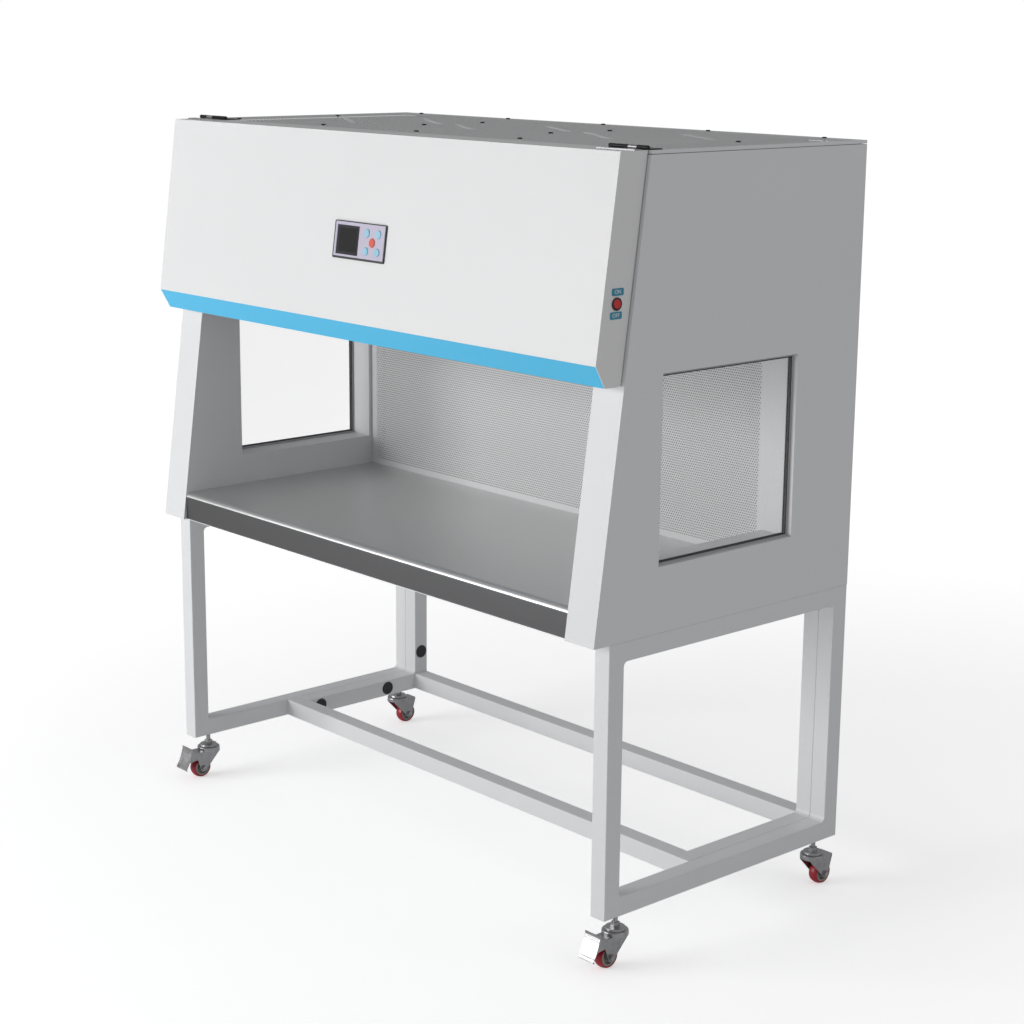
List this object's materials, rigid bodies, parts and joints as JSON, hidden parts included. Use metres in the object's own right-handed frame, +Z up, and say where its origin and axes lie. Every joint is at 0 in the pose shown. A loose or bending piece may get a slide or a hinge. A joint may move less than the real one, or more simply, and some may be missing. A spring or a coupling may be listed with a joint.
{
  "type": "laminar flow hood",
  "caption": "Horizontal laminar flow clean bench: sheet-metal cabinet with side windows, hinged front cover with controls, steel worktop and perforated diffuser, on a castered tube stand",
  "frame": {"origin": "on the floor below the centre of the bench", "axes": "+X to the operator's right, +Y to the back, +Z up"},
  "size_m": [1.474, 0.737, 1.5933],
  "materials": {
    "powder_coat": "pale grey powder coat",
    "cover_coat": "white-grey powder coat with a sky-blue band",
    "diffuser_coat": "perforated sheet, grey powder coat",
    "window_glass": "clear toughened glass",
    "black_rubber": "black glazing channel",
    "stainless_steel": "brushed stainless steel",
    "filter_frame": "extruded aluminium frame with white media",
    "lamp_cover": "opal cover",
    "galvanised_steel": "galvanised sheet",
    "impeller_metal": "galvanised blades",
    "filter_media": "white coarse filter media",
    "black_plastic": "black moulded plastic",
    "black_steel": "black oxide",
    "bright_steel": "bright zinc",
    "bezel_plastic": "lilac-silver membrane panel",
    "screen_glass": "black display window",
    "blue_button": "light blue",
    "red_button": "red-orange",
    "red_rocker": "red",
    "caster_chrome": "chrome-plated pressed steel",
    "hub_plastic": "grey nylon",
    "red_tyre": "crimson polyurethane"
  },
  "bodies": {
    "bench": {"left_side_panel": "powder_coat", "right_side_panel": "powder_coat", "left_side_liner": "powder_coat", "right_side_liner": "powder_coat", "window_panes": "window_glass", "window_gaskets": "black_rubber", "floor_pan": "powder_coat", "work_surface": "stainless_steel", "filter_shelf": "powder_coat", "diffuser_panel": "diffuser_coat", "hepa_filter": "filter_frame", "ceiling_panel": "powder_coat", "ceiling_lamp": "lamp_cover", "blower_deck": "galvanised_steel", "blower_housings": "galvanised_steel", "electrical_box": "powder_coat", "rear_panel": "powder_coat", "mains_inlet": "black_plastic", "top_panel": "powder_coat", "prefilter": "filter_media", "top_screws": "black_steel", "hinge_fixed_leaves": "black_steel", "left_side_frame": "powder_coat", "right_side_frame": "powder_coat", "cross_rails": "powder_coat", "left_inner_frame": "powder_coat", "right_inner_frame": "powder_coat", "frame_plugs": "black_plastic", "caster_stems": "caster_chrome"},
    "cover": {"front_cover": "cover_coat", "control_bezel": "bezel_plastic", "control_screen": "screen_glass", "switch_bezel": "black_plastic", "hinge_cover_leaves": "bright_steel"},
    "lower_left_button": {"lower_left_button": "blue_button"},
    "upper_left_button": {"upper_left_button": "blue_button"},
    "lower_right_button": {"lower_right_button": "blue_button"},
    "upper_right_button": {"upper_right_button": "blue_button"},
    "start_button": {"start_button": "red_button"},
    "rocker": {"switch_rocker": "red_rocker"},
    "left_impeller": {"left_impeller": "impeller_metal"},
    "right_impeller": {"right_impeller": "impeller_metal"},
    "front_left_swivel": {"front_left_fork": "caster_chrome", "front_left_axle": "bright_steel"},
    "front_left_wheel": {"front_left_hub": "hub_plastic", "front_left_tyre": "red_tyre"},
    "front_right_swivel": {"front_right_fork": "caster_chrome", "front_right_axle": "bright_steel"},
    "front_right_wheel": {"front_right_hub": "hub_plastic", "front_right_tyre": "red_tyre"},
    "rear_left_swivel": {"rear_left_fork": "caster_chrome", "rear_left_axle": "bright_steel"},
    "rear_left_wheel": {"rear_left_hub": "hub_plastic", "rear_left_tyre": "red_tyre"},
    "rear_right_swivel": {"rear_right_fork": "caster_chrome", "rear_right_axle": "bright_steel"},
    "rear_right_wheel": {"rear_right_hub": "hub_plastic", "rear_right_tyre": "red_tyre"},
    "front_left_pedal": {"front_left_brake_pedal": "caster_chrome"},
    "front_right_pedal": {"front_right_brake_pedal": "caster_chrome"}
  },
  "joints": [
    {"name": "cover_hinge", "type": "hinge", "parent": "bench", "child": "cover", "pos_m": [0, -0.245, 1.5893], "axis": [-1, 0, 0], "range_deg": [0, 75]},
    {"name": "lower_left_button_press", "type": "slide", "parent": "cover", "child": "lower_left_button", "axis": [0, 0.9906, -0.1367], "range_m": [0, 0.0015], "stiffness_N_per_m": 300},
    {"name": "upper_left_button_press", "type": "slide", "parent": "cover", "child": "upper_left_button", "axis": [0, 0.9906, -0.1367], "range_m": [0, 0.0015], "stiffness_N_per_m": 300},
    {"name": "lower_right_button_press", "type": "slide", "parent": "cover", "child": "lower_right_button", "axis": [0, 0.9906, -0.1367], "range_m": [0, 0.0015], "stiffness_N_per_m": 300},
    {"name": "upper_right_button_press", "type": "slide", "parent": "cover", "child": "upper_right_button", "axis": [0, 0.9906, -0.1367], "range_m": [0, 0.0015], "stiffness_N_per_m": 300},
    {"name": "start_button_press", "type": "slide", "parent": "cover", "child": "start_button", "axis": [0, 0.9906, -0.1367], "range_m": [0, 0.0015], "stiffness_N_per_m": 300},
    {"name": "rocker_tilt", "type": "hinge", "parent": "cover", "child": "rocker", "pos_m": [0.7192, -0.3185, 1.311], "axis": [0, 1, 0], "range_deg": [0, 12]},
    {"name": "left_impeller_spin", "type": "hinge", "parent": "bench", "child": "left_impeller", "pos_m": [-0.32, 0.211, 1.3788], "axis": [1, 0, 0], "continuous": true},
    {"name": "right_impeller_spin", "type": "hinge", "parent": "bench", "child": "right_impeller", "pos_m": [0.32, 0.211, 1.3788], "axis": [1, 0, 0], "continuous": true},
    {"name": "front_left_swivel_turn", "type": "hinge", "parent": "bench", "child": "front_left_swivel", "pos_m": [-0.71, -0.2765, 0.07], "axis": [0, 0, 1], "continuous": true},
    {"name": "front_left_wheel_roll", "type": "hinge", "parent": "front_left_swivel", "child": "front_left_wheel", "pos_m": [-0.71, -0.3015, 0.025], "axis": [1, 0, 0], "continuous": true},
    {"name": "front_left_pedal_press", "type": "hinge", "parent": "front_left_swivel", "child": "front_left_pedal", "pos_m": [-0.71, -0.3145, 0.057], "axis": [1, 0, 0], "range_deg": [0, 12]},
    {"name": "front_right_swivel_turn", "type": "hinge", "parent": "bench", "child": "front_right_swivel", "pos_m": [0.71, -0.2765, 0.07], "axis": [0, 0, 1], "continuous": true},
    {"name": "front_right_wheel_roll", "type": "hinge", "parent": "front_right_swivel", "child": "front_right_wheel", "pos_m": [0.71, -0.3015, 0.025], "axis": [1, 0, 0], "continuous": true},
    {"name": "front_right_pedal_press", "type": "hinge", "parent": "front_right_swivel", "child": "front_right_pedal", "pos_m": [0.71, -0.3145, 0.057], "axis": [1, 0, 0], "range_deg": [0, 12]},
    {"name": "rear_left_swivel_turn", "type": "hinge", "parent": "bench", "child": "rear_left_swivel", "pos_m": [-0.71, 0.3185, 0.07], "axis": [0, 0, 1], "continuous": true},
    {"name": "rear_left_wheel_roll", "type": "hinge", "parent": "rear_left_swivel", "child": "rear_left_wheel", "pos_m": [-0.71, 0.3435, 0.025], "axis": [1, 0, 0], "continuous": true},
    {"name": "rear_right_swivel_turn", "type": "hinge", "parent": "bench", "child": "rear_right_swivel", "pos_m": [0.71, 0.3185, 0.07], "axis": [0, 0, 1], "continuous": true},
    {"name": "rear_right_wheel_roll", "type": "hinge", "parent": "rear_right_swivel", "child": "rear_right_wheel", "pos_m": [0.71, 0.3435, 0.025], "axis": [1, 0, 0], "continuous": true}
  ]
}
